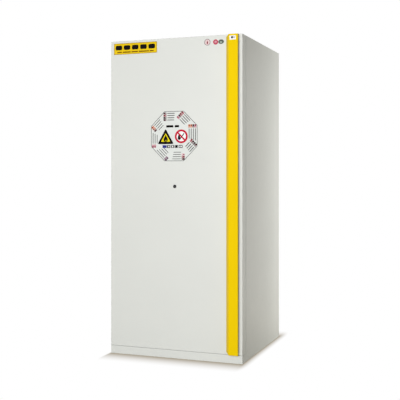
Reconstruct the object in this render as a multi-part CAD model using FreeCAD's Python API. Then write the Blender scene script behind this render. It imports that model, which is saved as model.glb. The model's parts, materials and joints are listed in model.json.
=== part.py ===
import FreeCAD, Part

# Flammable storage cabinet, one STEP file per separate piece, in millimetres.
# Frame: +X to the right seen from the front, the door faces -Y, +Z up.
# Origin: on the floor, under the centre of the footprint.

import math
import os

V = FreeCAD.Vector

# Driving dimensions of the cabinet
WIDTH = 600.0
DEPTH = 590.0
HEIGHT = 1360.0
HANDLE_PROUD = 20.0
DOOR_THICKNESS = 45.0
DOOR_GAP = 4.0
WALL = 50.0
SHEET = 1.5
FRAME_SHEET = 2.0
BOARD = 8.0
FLOOR_GAP = 1.0
PLINTH_TOP = 35.0
DOOR_LIFT = 1.0
SERVICE_SPACE = 60.0
HINGE_INSET = 12.0
BACK_RECESS = 2.0
EPS = 0.1
OVER = 1.0

# EPS is the clearance between fixed pieces that pass through each other.
# OVER is how far a cutting tool reaches past the piece it cuts.

# Planes that follow from them
X_SIDE = WIDTH / 2
Y_DOOR = -(DEPTH + HANDLE_PROUD) / 2 + HANDLE_PROUD
Y_DOOR_BACK = Y_DOOR + DOOR_THICKNESS
Y_FRAME = Y_DOOR_BACK + DOOR_GAP
Y_CASE = Y_FRAME + FRAME_SHEET
Y_BACK = Y_DOOR + DEPTH
Y_PANEL = Y_BACK - BACK_RECESS - SHEET
X_CASE = X_SIDE - SHEET
Z_COVER = HEIGHT - SHEET
Z_TRAY = HEIGHT - SERVICE_SPACE
Z_PAN = PLINTH_TOP - SHEET

# Storage space inside the liner boards
X_IN = X_SIDE - WALL
Y_IN = Y_BACK - WALL
Z_IN_LOW = 90.0
Z_IN_HIGH = Z_TRAY - WALL
X_LINER = X_IN + BOARD
Y_LINER = Y_IN + BOARD
REVEAL = 28.0
Y_REVEAL = Y_CASE + REVEAL

# Door and its raised plug, which enters the frame opening
DOOR_BOTTOM = PLINTH_TOP + DOOR_LIFT
PLUG_GAP = 6.0
PLUG_DEPTH = 18.0
X_PLUG = X_IN - PLUG_GAP
Y_PLUG = Y_DOOR_BACK + PLUG_DEPTH
Z_PLUG_LOW = Z_IN_LOW + PLUG_GAP
Z_PLUG_HIGH = Z_IN_HIGH - PLUG_GAP

# Door pivots
HINGE_X = -X_SIDE + HINGE_INSET
HINGE_Y = Y_DOOR + DOOR_THICKNESS / 2
PIVOT_PLATE = 6.0
PIVOT_HALF_WIDTH = 10.0
PIVOT_PIN_R = 6.0
PIVOT_PIN_LENGTH = 20.5
PIVOT_PLATE_REAR = -170.0
PIVOT_SCREWS_Y = (-210.0, -185.0)
PIN_CLEARANCE = 1.0
RUNNING_FIT = 0.05
BUSH_R = 10.0
BUSH_LENGTH = 18.0
RECESS_FLOOR = Z_COVER - PIVOT_PLATE - 2.0
RECESS_RIGHT = HINGE_X + 14.0
RECESS_FRONT = Y_DOOR + 6.0

# Lock: a cylinder turns a pinion, which drives an upper and a lower bolt rod
LOCK_Z = 730.0
LOCK_R = 7.0
LOCK_PROUD = 2.0
LOCK_PLUG_R = 5.0
TAILPIECE_R = 4.0
TEETH = 16
MODULE = 1.25
PITCH_R = TEETH * MODULE / 2
PRESSURE_ANGLE = math.radians(25.0)
ADDENDUM = 0.9 * MODULE
DEDENDUM = 1.15 * MODULE
FLANK_THINNING = 0.06
GEAR_WIDTH = 6.0
ROD_X = 14.5
ROD_Y = -228.5
ROD_R = 4.0
ROD_TIP_INSET = 1.0
ROD_EXIT_PLAY = 0.3
RACK_BACK = 18.5
CHANNEL_HALF = 24.5
CHANNEL_FRONT = -234.0
UPPER_GUIDES_Z = (960.0, 1200.0)
LOWER_GUIDES_Z = (500.0, 140.0)
KEEPER_R = 4.6
KEEPER_OUTER_R = 7.0
KEEPER_LENGTH = 12.0

# Door stay: an arm on the door slides through a swivelling guide on the casing.
# Both pivots lie on one circle round the hinge axis, so each turns by half the door angle.
STAY_R = 150.0
STAY_DOOR_ANGLE = math.asin((-228.0 - HINGE_Y) / STAY_R)
STAY_SPAN = math.radians(24.0)
DOOR_OPENING = math.radians(105.0)
STAY_Z = 1326.0
STAY_THICKNESS = 5.0
STAY_WIDTH = 14.0
STAY_FREE = 0.3
GUIDE_HALF_LENGTH = 16.0
GUIDE_HALF_WIDTH = 12.0
STAY_PIN_R = 4.0
STAY_SLOT_X = (-214.0, -126.0)
STAY_SLOT_Z = (STAY_Z - 10.0, STAY_Z + 14.0)
GUIDE_BELOW = 10.0
GUIDE_ABOVE = 8.0
STAY_EYE_R = 9.0
STAY_STOP = 10.0

# Air spigots on top
SPIGOT_R = 37.5
SPIGOT_WALL = 1.5
SPIGOT_X = 120.0
SPIGOT_Y = 205.0
SPIGOT_TOP = HEIGHT + 45.0
SPIGOT_FLANGE = 2.0
SPIGOT_FLANGE_R = SPIGOT_R + 14.0
DAMPER_Z = 1335.0
DAMPER_SHAFT_R = 3.0

# Earth stud on top
EARTH_X = 0.0
EARTH_Y = 265.0
EARTH_R = 4.0
EARTH_LENGTH = 22.0

# Feet and screws
FOOT_X = 255.0
FOOT_YS = (-200.0, 262.0)
FOOT_R = 22.0
FOOT_DISC = 7.0
FOOT_STUD_R = 5.0
FOOT_BOSS_R = 15.0
FOOT_BOSS = 10.0
FOOT_NUT = 8.0
FOOT_NUT_FLATS = 17.0
SCREW_HEAD_R = 4.5
SCREW_HEAD = 2.0
SCREW_R = 2.0
SCREW_LENGTH = 8.0
CASING_SCREW_X = 285.0
BACK_SCREWS_Z = (80.0, 390.0, 700.0, 1010.0, 1320.0)
COVER_SCREWS_Y = (-120.0, 40.0, 285.0)

# Interior fittings
SHELF_HEIGHTS = (466.0, 866.0)
SHELF_DEPTH = (-190.0, 210.0)
SHELF_HALF_WIDTH = 240.0
SHELF_LIP = 30.0
RAIL_YS = (-150.0, 170.0)
RAIL_Z = (200.0, 1200.0)
RAIL_DEPTH = 8.0
RAIL_HALF_WIDTH = 10.0
SLOT_PITCH = 40.0
SLOT_HEIGHT = 4.4
SLOT_WIDTH = 12.0
SUMP_HEIGHT = 60.0
DUCT_HALF_WIDTH = 45.0
DUCT_WALL = 1.0
DUCT_HEAD_FRONT = 160.0

# Handle profile section
HANDLE_LEFT = 230.0
HANDLE_RIGHT = 286.0
HANDLE_FLANK = 16.0
HANDLE_SHEET = 2.0
HANDLE_LIP = 9.0
HANDLE_END = 1.5
HANDLE_CORNER = 10.0
HANDLE_FLANGE = 34.0
HANDLE_SCREWS = 6
HANDLE_SCREW_PITCH = 240.0
HANDLE_SCREW_INSET = 10.0
FILM = 0.4
Y_HANDLE = Y_DOOR - HANDLE_PROUD + FILM
HANDLE_LOW = DOOR_BOTTOM + HANDLE_END
HANDLE_HIGH = HEIGHT - HANDLE_END

# Printed films: centres and sizes on the door's face
OCTAGON = (-3.3, 943.4)
OCTAGON_FLATS = 212.0
PLATE_X = (-286.0, -82.0)
PLATE_Z = (1302.0, 1350.0)
PLATE_CORNER = 3.0
DISC_LABELS = ((147.0, 1333.0, 13.5), (183.5, 1332.0, 11.0))
OVAL_LABEL = (207.5, 1332.0)
OVAL_HALF_AXES = (12.5, 9.5)
HANDLE_LABEL_X = (250.5, 278.0)
HANDLE_LABEL_HEIGHT = 17.0
HANDLE_LABEL_TOP = HANDLE_HIGH - 7.0


def box(x0, x1, y0, y1, z0, z1):
    """A box between two corners."""
    return Part.makeBox(x1 - x0, y1 - y0, z1 - z0, V(x0, y0, z0))


def post(x, y, z0, z1, radius):
    """An upright cylinder."""
    return Part.makeCylinder(radius, z1 - z0, V(x, y, z0), V(0, 0, 1))


def fuse(shapes):
    """One solid from touching or crossing shapes."""
    return shapes[0].multiFuse(shapes[1:]).removeSplitter()


def cut(shape, tools):
    """A shape with all the tools taken out of it."""
    return shape.cut(Part.makeCompound(tools))


def prism(points, height):
    """A straight upright prism on an outline of 3-D points."""
    face = Part.Face(Part.makePolygon(points + points[:1]))
    return face.extrude(V(0, 0, height))


def mirrored(shape):
    """The same shape on the other side of the cabinet."""
    return shape.mirror(V(0, 0, 0), V(1, 0, 0))


def on_both_sides(shapes):
    """A group holding the shapes and their mirror images."""
    return Part.makeCompound(list(shapes) + [mirrored(s) for s in shapes])


def hinge_disc(angle, z0, z1, radius):
    """An upright cylinder on the stay circle, at an angle round the door hinge."""
    x = HINGE_X + STAY_R * math.cos(angle)
    y = HINGE_Y + STAY_R * math.sin(angle)
    return post(x, y, z0, z1, radius)


# ---------------------------------------------------------------- screws

def screw(x, y, z, direction):
    """A pan-head screw with a cross recess; its head sits on the point, its shank runs against direction."""
    dome, slot_reach, slot_half, slot_floor = 1.2, 2.6, 0.5, 1.0
    head = Part.makeCylinder(SCREW_HEAD_R, SCREW_HEAD)
    head = head.makeFillet(dome, [head.Edges[0]])
    shank = Part.makeCylinder(SCREW_R, SCREW_LENGTH, V(0, 0, -SCREW_LENGTH))
    recess = [box(-slot_reach, slot_reach, -slot_half, slot_half, slot_floor, SCREW_HEAD + OVER),
              box(-slot_half, slot_half, -slot_reach, slot_reach, slot_floor, SCREW_HEAD + OVER)]
    body = cut(fuse([head, shank]), recess)
    body.Placement = FreeCAD.Placement(V(x, y, z), FreeCAD.Rotation(V(0, 0, 1), direction))
    return body


def screw_hole(x, y, z, direction):
    """Clearance round a screw's shank."""
    start = V(x, y, z) - direction * (SCREW_LENGTH + OVER)
    return Part.makeCylinder(SCREW_R + EPS, SCREW_LENGTH + OVER, start, direction)


def casing_screw_places():
    """Back panel, top cover and pivot plate screws: where the head sits, and which way it faces."""
    places = []
    for x in (-CASING_SCREW_X, CASING_SCREW_X):
        for z in BACK_SCREWS_Z:
            places.append((x, Y_PANEL + SHEET, z, V(0, 1, 0)))
        for y in COVER_SCREWS_Y:
            places.append((x, y, HEIGHT, V(0, 0, 1)))
    for y in PIVOT_SCREWS_Y:
        places.append((HINGE_X, y, HEIGHT, V(0, 0, 1)))
        places.append((HINGE_X, y, Z_PAN - PIVOT_PLATE, V(0, 0, -1)))
    return places


def casing_screw_holes():
    """Clearance for every casing screw."""
    return [screw_hole(*place) for place in casing_screw_places()]


def casing_screws():
    """All identical screws of the casing."""
    return Part.makeCompound([screw(*place) for place in casing_screw_places()])


# ---------------------------------------------------------------- casing

def side_panel():
    """The right outer sheet, with a folded lower edge."""
    fold_width = 12.0
    sheet = box(X_CASE, X_SIDE, Y_CASE, Y_BACK, FLOOR_GAP, HEIGHT)
    fold = box(X_CASE - fold_width, X_CASE, Y_CASE, Y_PANEL, FLOOR_GAP, FLOOR_GAP + SHEET)
    return fuse([sheet, fold])


def left_side_panel():
    """The left outer sheet."""
    return mirrored(side_panel())


def back_panel():
    """The recessed back sheet."""
    sheet = box(-X_CASE, X_CASE, Y_PANEL, Y_PANEL + SHEET, FLOOR_GAP, Z_COVER)
    return cut(sheet, casing_screw_holes())


def top_cover():
    """The top sheet, with openings for the two air spigots and the earth stud."""
    sheet = box(-X_CASE, X_CASE, Y_CASE, Y_BACK, Z_COVER, HEIGHT)
    earth = post(EARTH_X, EARTH_Y, Z_COVER - OVER, HEIGHT + OVER, EARTH_R + EPS)
    return cut(sheet, spigot_passages() + [earth] + casing_screw_holes())


def base_pan():
    """The floor sheet, with four threaded foot bosses below it."""
    sheet = box(-X_CASE, X_CASE, Y_CASE, Y_PANEL, Z_PAN, PLINTH_TOP)
    bosses = []
    holes = casing_screw_holes()
    for x in (-FOOT_X, FOOT_X):
        for y in FOOT_YS:
            bosses.append(post(x, y, Z_PAN - FOOT_BOSS, Z_PAN, FOOT_BOSS_R))
            holes.append(post(x, y, Z_PAN - FOOT_BOSS - OVER, PLINTH_TOP + OVER, FOOT_STUD_R + EPS))
    return cut(fuse([sheet] + bosses), holes)


def levelling_feet():
    """Four round feet on threaded studs."""
    rim = 2.0
    feet = []
    for x in (-FOOT_X, FOOT_X):
        for y in FOOT_YS:
            disc = post(x, y, 0, FOOT_DISC, FOOT_R)
            disc = disc.makeFillet(rim, [disc.Edges[0]])
            feet.append(fuse([disc, post(x, y, FOOT_DISC, PLINTH_TOP - EPS, FOOT_STUD_R)]))
    return Part.makeCompound(feet)


def hexagon(x, y, z0, z1, across_flats):
    """An upright hexagon prism."""
    corner_r = across_flats / math.sqrt(3)
    corners = [V(x + corner_r * math.cos(k * math.pi / 3), y + corner_r * math.sin(k * math.pi / 3), z0)
               for k in range(6)]
    return prism(corners, z1 - z0)


def hexagon_nut(x, y, z0, z1, across_flats, hole_r):
    """A hexagon nut with a plain bore."""
    return hexagon(x, y, z0, z1, across_flats).cut(post(x, y, z0 - OVER, z1 + OVER, hole_r))


def foot_lock_nuts():
    """The nuts that lock the feet against the bosses."""
    top = Z_PAN - FOOT_BOSS
    return Part.makeCompound([hexagon_nut(x, y, top - FOOT_NUT, top, FOOT_NUT_FLATS, FOOT_STUD_R + EPS)
                              for x in (-FOOT_X, FOOT_X) for y in FOOT_YS])


def plinth_cover():
    """The folded cover under the door, flush with the door's face."""
    outer = box(-X_SIDE, X_SIDE, Y_DOOR, Y_FRAME, FLOOR_GAP, PLINTH_TOP)
    inner = box(-X_CASE, X_CASE, Y_DOOR + SHEET, Y_FRAME + OVER, FLOOR_GAP - OVER, Z_PAN)
    pin_hole = post(HINGE_X, HINGE_Y, Z_PAN - OVER, PLINTH_TOP + OVER, PIVOT_PIN_R + PIN_CLEARANCE)
    return cut(outer, [inner, pin_hole])


def front_frame():
    """The welded front frame: face ring, reveals round the opening, and two cups for the bolt rods."""
    face = box(-X_SIDE, X_SIDE, Y_FRAME, Y_CASE, FLOOR_GAP, HEIGHT)
    lining = box(-X_IN - SHEET, X_IN + SHEET, Y_FRAME, Y_REVEAL, Z_IN_LOW - SHEET, Z_IN_HIGH + SHEET)
    cups = [post(ROD_X, ROD_Y, Z_IN_HIGH, Z_IN_HIGH + KEEPER_LENGTH, KEEPER_OUTER_R),
            post(-ROD_X, ROD_Y, Z_IN_LOW - KEEPER_LENGTH, Z_IN_LOW, KEEPER_OUTER_R)]
    opening = box(-X_IN, X_IN, Y_FRAME - OVER, Y_REVEAL + OVER, Z_IN_LOW, Z_IN_HIGH)
    cup_bores = [post(ROD_X, ROD_Y, Z_IN_HIGH - OVER, Z_IN_HIGH + KEEPER_LENGTH + OVER, KEEPER_R),
                 post(-ROD_X, ROD_Y, Z_IN_LOW - KEEPER_LENGTH - OVER, Z_IN_LOW + OVER, KEEPER_R)]
    stay_slot = box(*STAY_SLOT_X, Y_FRAME - OVER, Y_CASE + OVER, *STAY_SLOT_Z)
    slot_half = PIVOT_HALF_WIDTH + 2 * EPS
    pivot_slots = [box(HINGE_X - slot_half, HINGE_X + slot_half, Y_FRAME - OVER, Y_CASE + OVER,
                       z - EPS, z + PIVOT_PLATE + EPS)
                   for z in (Z_COVER - PIVOT_PLATE, Z_PAN - PIVOT_PLATE)]
    return cut(fuse([face, lining] + cups), [opening, stay_slot] + cup_bores + pivot_slots)


def service_tray():
    """The sheet that closes the ceiling insulation and carries the door stay."""
    sheet = box(-X_CASE, X_CASE, Y_CASE, Y_PANEL, Z_TRAY - SHEET, Z_TRAY)
    return cut(sheet, spigot_passages())


def spigot_passages():
    """Round openings for the two air spigots through everything above the ceiling."""
    return [post(s * SPIGOT_X, SPIGOT_Y, Z_IN_HIGH - OVER, HEIGHT + OVER, SPIGOT_R + EPS) for s in (-1, 1)]


# ---------------------------------------------------------------- insulation and liners

def keeper_pockets():
    """Hollows in the ceiling and floor boards round the bolt cups."""
    reach = KEEPER_LENGTH + OVER
    return [post(ROD_X, ROD_Y, Z_IN_HIGH, Z_IN_HIGH + reach, KEEPER_OUTER_R + EPS),
            post(-ROD_X, ROD_Y, Z_IN_LOW - reach, Z_IN_LOW, KEEPER_OUTER_R + EPS)]


def floor_insulation():
    """The board under the storage space."""
    board = box(-X_CASE, X_CASE, Y_CASE, Y_PANEL, PLINTH_TOP, Z_IN_LOW - BOARD)
    return cut(board, keeper_pockets() + casing_screw_holes())


def ceiling_insulation():
    """The board above the storage space."""
    board = box(-X_CASE, X_CASE, Y_CASE, Y_PANEL, Z_IN_HIGH + BOARD, Z_TRAY - SHEET)
    return cut(board, keeper_pockets() + spigot_passages())


def back_insulation():
    """The board behind the storage space."""
    board = box(-X_CASE, X_CASE, Y_LINER, Y_PANEL, Z_IN_LOW - BOARD, Z_IN_HIGH + BOARD)
    return cut(board, casing_screw_holes())


def right_insulation():
    """The board in the right wall."""
    return box(X_LINER, X_CASE, Y_CASE, Y_LINER, Z_IN_LOW - BOARD, Z_IN_HIGH + BOARD)


def left_insulation():
    """The board in the left wall."""
    return mirrored(right_insulation())


def floor_liner():
    """The white board on the floor of the storage space."""
    return box(-X_LINER, X_LINER, Y_REVEAL, Y_LINER, Z_IN_LOW - BOARD, Z_IN_LOW)


def ceiling_liner():
    """The white board under the ceiling insulation."""
    board = box(-X_LINER, X_LINER, Y_REVEAL, Y_LINER, Z_IN_HIGH, Z_IN_HIGH + BOARD)
    return cut(board, spigot_passages())


def back_liner():
    """The white board at the back."""
    return box(-X_LINER, X_LINER, Y_IN, Y_LINER, Z_IN_LOW, Z_IN_HIGH)


def right_liner():
    """The white board on the right wall."""
    return box(X_IN, X_LINER, Y_REVEAL, Y_IN, Z_IN_LOW, Z_IN_HIGH)


def left_liner():
    """The white board on the left wall."""
    return mirrored(right_liner())


def frame_fire_seal():
    """Strips on the reveals that swell in a fire, broken where the bolt rods pass."""
    seal, width, rod_space, break_reach = 2.0, 18.0, 4.0, 5.0
    y0 = Y_CASE + seal
    y1 = y0 + width
    outer = box(-X_IN, X_IN, y0, y1, Z_IN_LOW, Z_IN_HIGH)
    inner = box(-X_IN + seal, X_IN - seal, y0 - OVER, y1 + OVER, Z_IN_LOW + seal, Z_IN_HIGH - seal)
    break_half = ROD_X + ROD_R + rod_space
    breaks = [box(-break_half, break_half, y0 - OVER, y1 + OVER, z - break_reach, z + break_reach)
              for z in (Z_IN_LOW, Z_IN_HIGH)]
    return cut(outer, [inner] + breaks)


# ---------------------------------------------------------------- interior fittings

def tray(x, y0, y1, z, height):
    """An open sheet tray that is symmetrical left to right."""
    outer = box(-x, x, y0, y1, z, z + height)
    return outer.cut(box(-x + SHEET, x - SHEET, y0 + SHEET, y1 - SHEET, z + SHEET, z + height + OVER))


def upper_shelf():
    """The upper tray shelf."""
    return tray(SHELF_HALF_WIDTH, *SHELF_DEPTH, SHELF_HEIGHTS[1], SHELF_LIP)


def lower_shelf():
    """The lower tray shelf."""
    return tray(SHELF_HALF_WIDTH, *SHELF_DEPTH, SHELF_HEIGHTS[0], SHELF_LIP)


def sump_tray():
    """The collecting tray on the floor of the cabinet."""
    return tray(SHELF_HALF_WIDTH, *SHELF_DEPTH, Z_IN_LOW, SUMP_HEIGHT)


def sump_grid():
    """The slotted cover that lies on the collecting tray and serves as the lowest shelf."""
    top = Z_IN_LOW + SUMP_HEIGHT
    y0, y1 = SHELF_DEPTH
    cover = box(-SHELF_HALF_WIDTH, SHELF_HALF_WIDTH, y0, y1, top, top + SHEET)
    columns, column_pitch, half_length = 8, 56.0, 19.0
    rows, row_pitch, half_width = 9, 40.0, 4.0
    slots = []
    for column in range(columns):
        x = (column - (columns - 1) / 2) * column_pitch
        for row in range(rows):
            y = (y0 + y1) / 2 + (row - (rows - 1) / 2) * row_pitch
            slots.append(box(x - half_length, x + half_length, y - half_width, y + half_width,
                             top - OVER, top + SHEET + OVER))
    return cut(cover, slots)


def shelf_rails():
    """Four slotted upright rails, two on each side wall."""
    rails = []
    x0, x1 = X_IN - RAIL_DEPTH, X_IN
    for y in RAIL_YS:
        bar = box(x0, x1, y - RAIL_HALF_WIDTH, y + RAIL_HALF_WIDTH, *RAIL_Z)
        hollow = box(x0 + SHEET, x1 + OVER, y - RAIL_HALF_WIDTH + SHEET, y + RAIL_HALF_WIDTH - SHEET,
                     RAIL_Z[0] - OVER, RAIL_Z[1] + OVER)
        slots = []
        z = RAIL_Z[0] + SLOT_PITCH / 2
        while z < RAIL_Z[1]:
            slots.append(box(x0 - OVER, x0 + SHEET + OVER, y - SLOT_WIDTH / 2, y + SLOT_WIDTH / 2,
                             z - SLOT_HEIGHT / 2, z + SLOT_HEIGHT / 2))
            z += SLOT_PITCH
        rails.append(cut(bar, [hollow] + slots))
    return on_both_sides(rails)


def shelf_clips():
    """Hooked tongues in the rail slots, four under each shelf."""
    reach, drop, half_width = 18.0, 20.0, 7.0
    hook_reach, hook_drop, slot_play = 4.0, 6.0, 0.4
    hook_half_width = SLOT_WIDTH / 2 - slot_play
    hook_half = SLOT_HEIGHT / 2 - slot_play
    clips = []
    face = X_IN - RAIL_DEPTH
    for z in SHELF_HEIGHTS:
        for y in RAIL_YS:
            tongue = box(face - reach, face, y - half_width, y + half_width, z - SHEET, z)
            upright = box(face - SHEET, face, y - half_width, y + half_width, z - drop, z)
            hook = box(face - SHEET, face + hook_reach, y - hook_half_width, y + hook_half_width,
                       z - hook_drop - hook_half, z - hook_drop + hook_half)
            clips.append(fuse([tongue, upright, hook]))
    return on_both_sides(clips)


def exhaust_duct():
    """The channel that draws air near the floor and leads it up the back wall to the exhaust spigot."""
    x0, x1 = SPIGOT_X - DUCT_HALF_WIDTH, SPIGOT_X + DUCT_HALF_WIDTH
    front, foot, head_foot = 220.0, 180.0, 1170.0
    wall = DUCT_WALL
    head = box(x0, x1, DUCT_HEAD_FRONT, Y_IN, head_foot, Z_IN_HIGH)
    channel = box(x0, x1, front, Y_IN, foot, Z_IN_HIGH)
    hollow_head = box(x0 + wall, x1 - wall, DUCT_HEAD_FRONT + wall, Y_IN - wall,
                      head_foot + wall, Z_IN_HIGH + OVER)
    hollow_channel = box(x0 + wall, x1 - wall, front + wall, Y_IN - wall, foot + wall, Z_IN_HIGH)
    return cut(fuse([head, channel]),
               [hollow_head, hollow_channel] + duct_slots(SPIGOT_X, front, foot + 15, 7, 14.0, 6.0))


def duct_slots(x, front, lowest, count, pitch, height):
    """Level slots through the front wall of a duct."""
    reach = DUCT_HALF_WIDTH - 12.0
    return [box(x - reach, x + reach, front - OVER, front + DUCT_WALL + OVER,
                lowest + k * pitch, lowest + k * pitch + height) for k in range(count)]


def inlet_diffuser():
    """The box under the inlet spigot that spreads fresh air below the ceiling."""
    x0, x1 = -SPIGOT_X - DUCT_HALF_WIDTH, -SPIGOT_X + DUCT_HALF_WIDTH
    rear, foot = 250.0, 1215.0
    wall = DUCT_WALL
    shell = box(x0, x1, DUCT_HEAD_FRONT, rear, foot, Z_IN_HIGH)
    hollow = box(x0 + wall, x1 - wall, DUCT_HEAD_FRONT + wall, rear - wall, foot + wall, Z_IN_HIGH + OVER)
    return cut(shell, [hollow] + duct_slots(-SPIGOT_X, DUCT_HEAD_FRONT, foot + 7, 3, 10.0, 5.0))


# ---------------------------------------------------------------- air spigots and dampers

def spigot(side):
    """A duct collar through the ceiling, with a flange on the top cover and bores for the damper shaft."""
    x = side * SPIGOT_X
    tube = post(x, SPIGOT_Y, Z_IN_HIGH, SPIGOT_TOP, SPIGOT_R)
    flange = post(x, SPIGOT_Y, HEIGHT, HEIGHT + SPIGOT_FLANGE, SPIGOT_FLANGE_R)
    passage = post(x, SPIGOT_Y, Z_IN_HIGH - OVER, SPIGOT_TOP + OVER, SPIGOT_R - SPIGOT_WALL)
    shaft_bore = damper_shaft(x, DAMPER_SHAFT_R + RUNNING_FIT, SPIGOT_R + OVER, SPIGOT_R + OVER)
    return cut(fuse([tube, flange]), [passage, shaft_bore])


def exhaust_spigot():
    """The right collar."""
    return spigot(1)


def inlet_spigot():
    """The left collar."""
    return spigot(-1)


def damper_shaft(x, radius, left, right):
    """A cylinder along the damper's axis, reaching left and right of the spigot's middle."""
    return Part.makeCylinder(radius, left + right, V(x - left, SPIGOT_Y, DAMPER_Z), V(1, 0, 0))


def damper_flap(side):
    """A round flap on a cross shaft, with a crank outside the duct."""
    disc_half, disc_gap = 1.0, 1.0
    end, crank_sheet, crank_half, crank_length = 4.0, 3.0, 5.0, 22.0
    x = side * SPIGOT_X
    disc = Part.makeCylinder(SPIGOT_R - SPIGOT_WALL - disc_gap, 2 * disc_half,
                             V(x, SPIGOT_Y - disc_half, DAMPER_Z), V(0, 1, 0))
    crank_x = SPIGOT_R + end
    shaft = damper_shaft(x, DAMPER_SHAFT_R, SPIGOT_R + end, crank_x + 2 * crank_sheet)
    crank = box(x + crank_x, x + crank_x + crank_sheet, SPIGOT_Y - crank_half, SPIGOT_Y + crank_half,
                DAMPER_Z - crank_length, DAMPER_Z + crank_half)
    return fuse([disc, shaft, crank])


def exhaust_damper_flap():
    """The flap in the right collar."""
    return damper_flap(1)


def inlet_damper_flap():
    """The flap in the left collar."""
    return damper_flap(-1)


def earth_terminal():
    """A hexagon-collared stud through the rear of the top cover, with a nut below the cover."""
    below, nut_height, flats = 8.0, 6.0, 13.0
    stud = post(EARTH_X, EARTH_Y, Z_COVER - below, HEIGHT + EARTH_LENGTH, EARTH_R)
    collar = hexagon(EARTH_X, EARTH_Y, HEIGHT, HEIGHT + nut_height, flats)
    nut = hexagon_nut(EARTH_X, EARTH_Y, Z_COVER - nut_height, Z_COVER, flats, EARTH_R + EPS)
    return Part.makeCompound([fuse([stud, collar]), nut])


# ---------------------------------------------------------------- door

def pivot_recess(margin):
    """The open corner in the door's top edge that clears the upper pivot plate, grown by a margin."""
    return box(-X_SIDE - OVER, RECESS_RIGHT + margin, RECESS_FRONT - margin, Y_DOOR_BACK + OVER,
               RECESS_FLOOR - margin, HEIGHT + OVER)


def door_inside():
    """The space inside the door's outer sheet, open at the back."""
    space = box(-X_CASE, X_CASE, Y_DOOR + SHEET, Y_DOOR_BACK, DOOR_BOTTOM + SHEET, HEIGHT - SHEET)
    return space.cut(pivot_recess(SHEET))


def door_skin():
    """The outer pan of the door."""
    slab = box(-X_SIDE, X_SIDE, Y_DOOR, Y_DOOR_BACK, DOOR_BOTTOM, HEIGHT).cut(pivot_recess(0))
    tools = [door_inside(), along_lock(LOCK_R + EPS, Y_DOOR - OVER, Y_DOOR + SHEET + OVER)]
    for z in (DOOR_BOTTOM, RECESS_FLOOR - SHEET):
        tools.append(post(HINGE_X, HINGE_Y, z - OVER, z + SHEET + OVER, PIVOT_PIN_R + PIN_CLEARANCE))
    return cut(slab, tools)


def plug_inside():
    """The hollow of the raised plug, up to the back of the door's insulation."""
    return box(-X_PLUG + SHEET, X_PLUG - SHEET, Y_DOOR_BACK - SHEET, Y_PLUG - SHEET,
               Z_PLUG_LOW + SHEET, Z_PLUG_HIGH - SHEET)


def door_inner_skin():
    """The inner sheet with its raised plug and the exits of the bolt rods."""
    sheet = door_inside().common(box(-X_SIDE, X_SIDE, Y_DOOR_BACK - SHEET, Y_DOOR_BACK, 0, HEIGHT))
    plug = box(-X_PLUG, X_PLUG, Y_DOOR_BACK - SHEET, Y_PLUG, Z_PLUG_LOW, Z_PLUG_HIGH)
    exit_r = ROD_R + ROD_EXIT_PLAY
    exits = [post(ROD_X, ROD_Y, Z_PLUG_HIGH - SHEET - OVER, Z_PLUG_HIGH + OVER, exit_r),
             post(-ROD_X, ROD_Y, Z_PLUG_LOW - OVER, Z_PLUG_LOW + SHEET + OVER, exit_r)]
    return cut(fuse([sheet, plug]), [plug_inside()] + exits)


def door_core():
    """The door's insulation, with the lock bore, the bolt rod channel and the bush seats."""
    slab = door_inside().common(box(-X_SIDE, X_SIDE, Y_DOOR, Y_DOOR_BACK - SHEET, 0, HEIGHT))
    channel = box(-CHANNEL_HALF, CHANNEL_HALF, CHANNEL_FRONT, Y_PLUG, Z_PLUG_LOW, Z_PLUG_HIGH)
    lock_bore = along_lock(LOCK_R + EPS, Y_DOOR, Y_PLUG)
    bush_seats = [post(HINGE_X, HINGE_Y, z, z + BUSH_LENGTH, BUSH_R) for z in bush_starts()]
    return cut(fuse([slab, plug_inside()]), [channel, lock_bore] + bush_seats)


def bush_starts():
    """Lower ends of the bottom and the top pivot bush."""
    return (DOOR_BOTTOM + SHEET, RECESS_FLOOR - SHEET - BUSH_LENGTH)


def pivot_bushes():
    """Plain bushes in which the door turns on its pivot pins."""
    return Part.makeCompound([
        post(HINGE_X, HINGE_Y, z, z + BUSH_LENGTH, BUSH_R).cut(
            post(HINGE_X, HINGE_Y, z - OVER, z + BUSH_LENGTH + OVER, PIVOT_PIN_R + RUNNING_FIT))
        for z in bush_starts()])


def pivot_bracket(plate_z, pin_z0, pin_z1):
    """A pivot plate bolted to the casing, reaching forward to the door's pin."""
    plate = box(HINGE_X - PIVOT_HALF_WIDTH, HINGE_X + PIVOT_HALF_WIDTH, HINGE_Y, PIVOT_PLATE_REAR,
                plate_z, plate_z + PIVOT_PLATE)
    nose = post(HINGE_X, HINGE_Y, plate_z, plate_z + PIVOT_PLATE, PIVOT_HALF_WIDTH)
    pin = post(HINGE_X, HINGE_Y, pin_z0, pin_z1, PIVOT_PIN_R)
    return cut(fuse([plate, nose, pin]), casing_screw_holes())


def upper_pivot_bracket():
    """The bracket above the door, with its pin pointing down."""
    plate_z = Z_COVER - PIVOT_PLATE
    return pivot_bracket(plate_z, plate_z - PIVOT_PIN_LENGTH, plate_z)


def lower_pivot_bracket():
    """The bracket below the door, with its pin pointing up."""
    return pivot_bracket(Z_PAN - PIVOT_PLATE, Z_PAN, Z_PAN + PIVOT_PIN_LENGTH)


def pivot_washer():
    """The thrust washer that carries the door's weight."""
    washer_r = 11.0
    return post(HINGE_X, HINGE_Y, PLINTH_TOP, DOOR_BOTTOM, washer_r).cut(
        post(HINGE_X, HINGE_Y, 0, HEIGHT, PIVOT_PIN_R + EPS))


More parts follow.
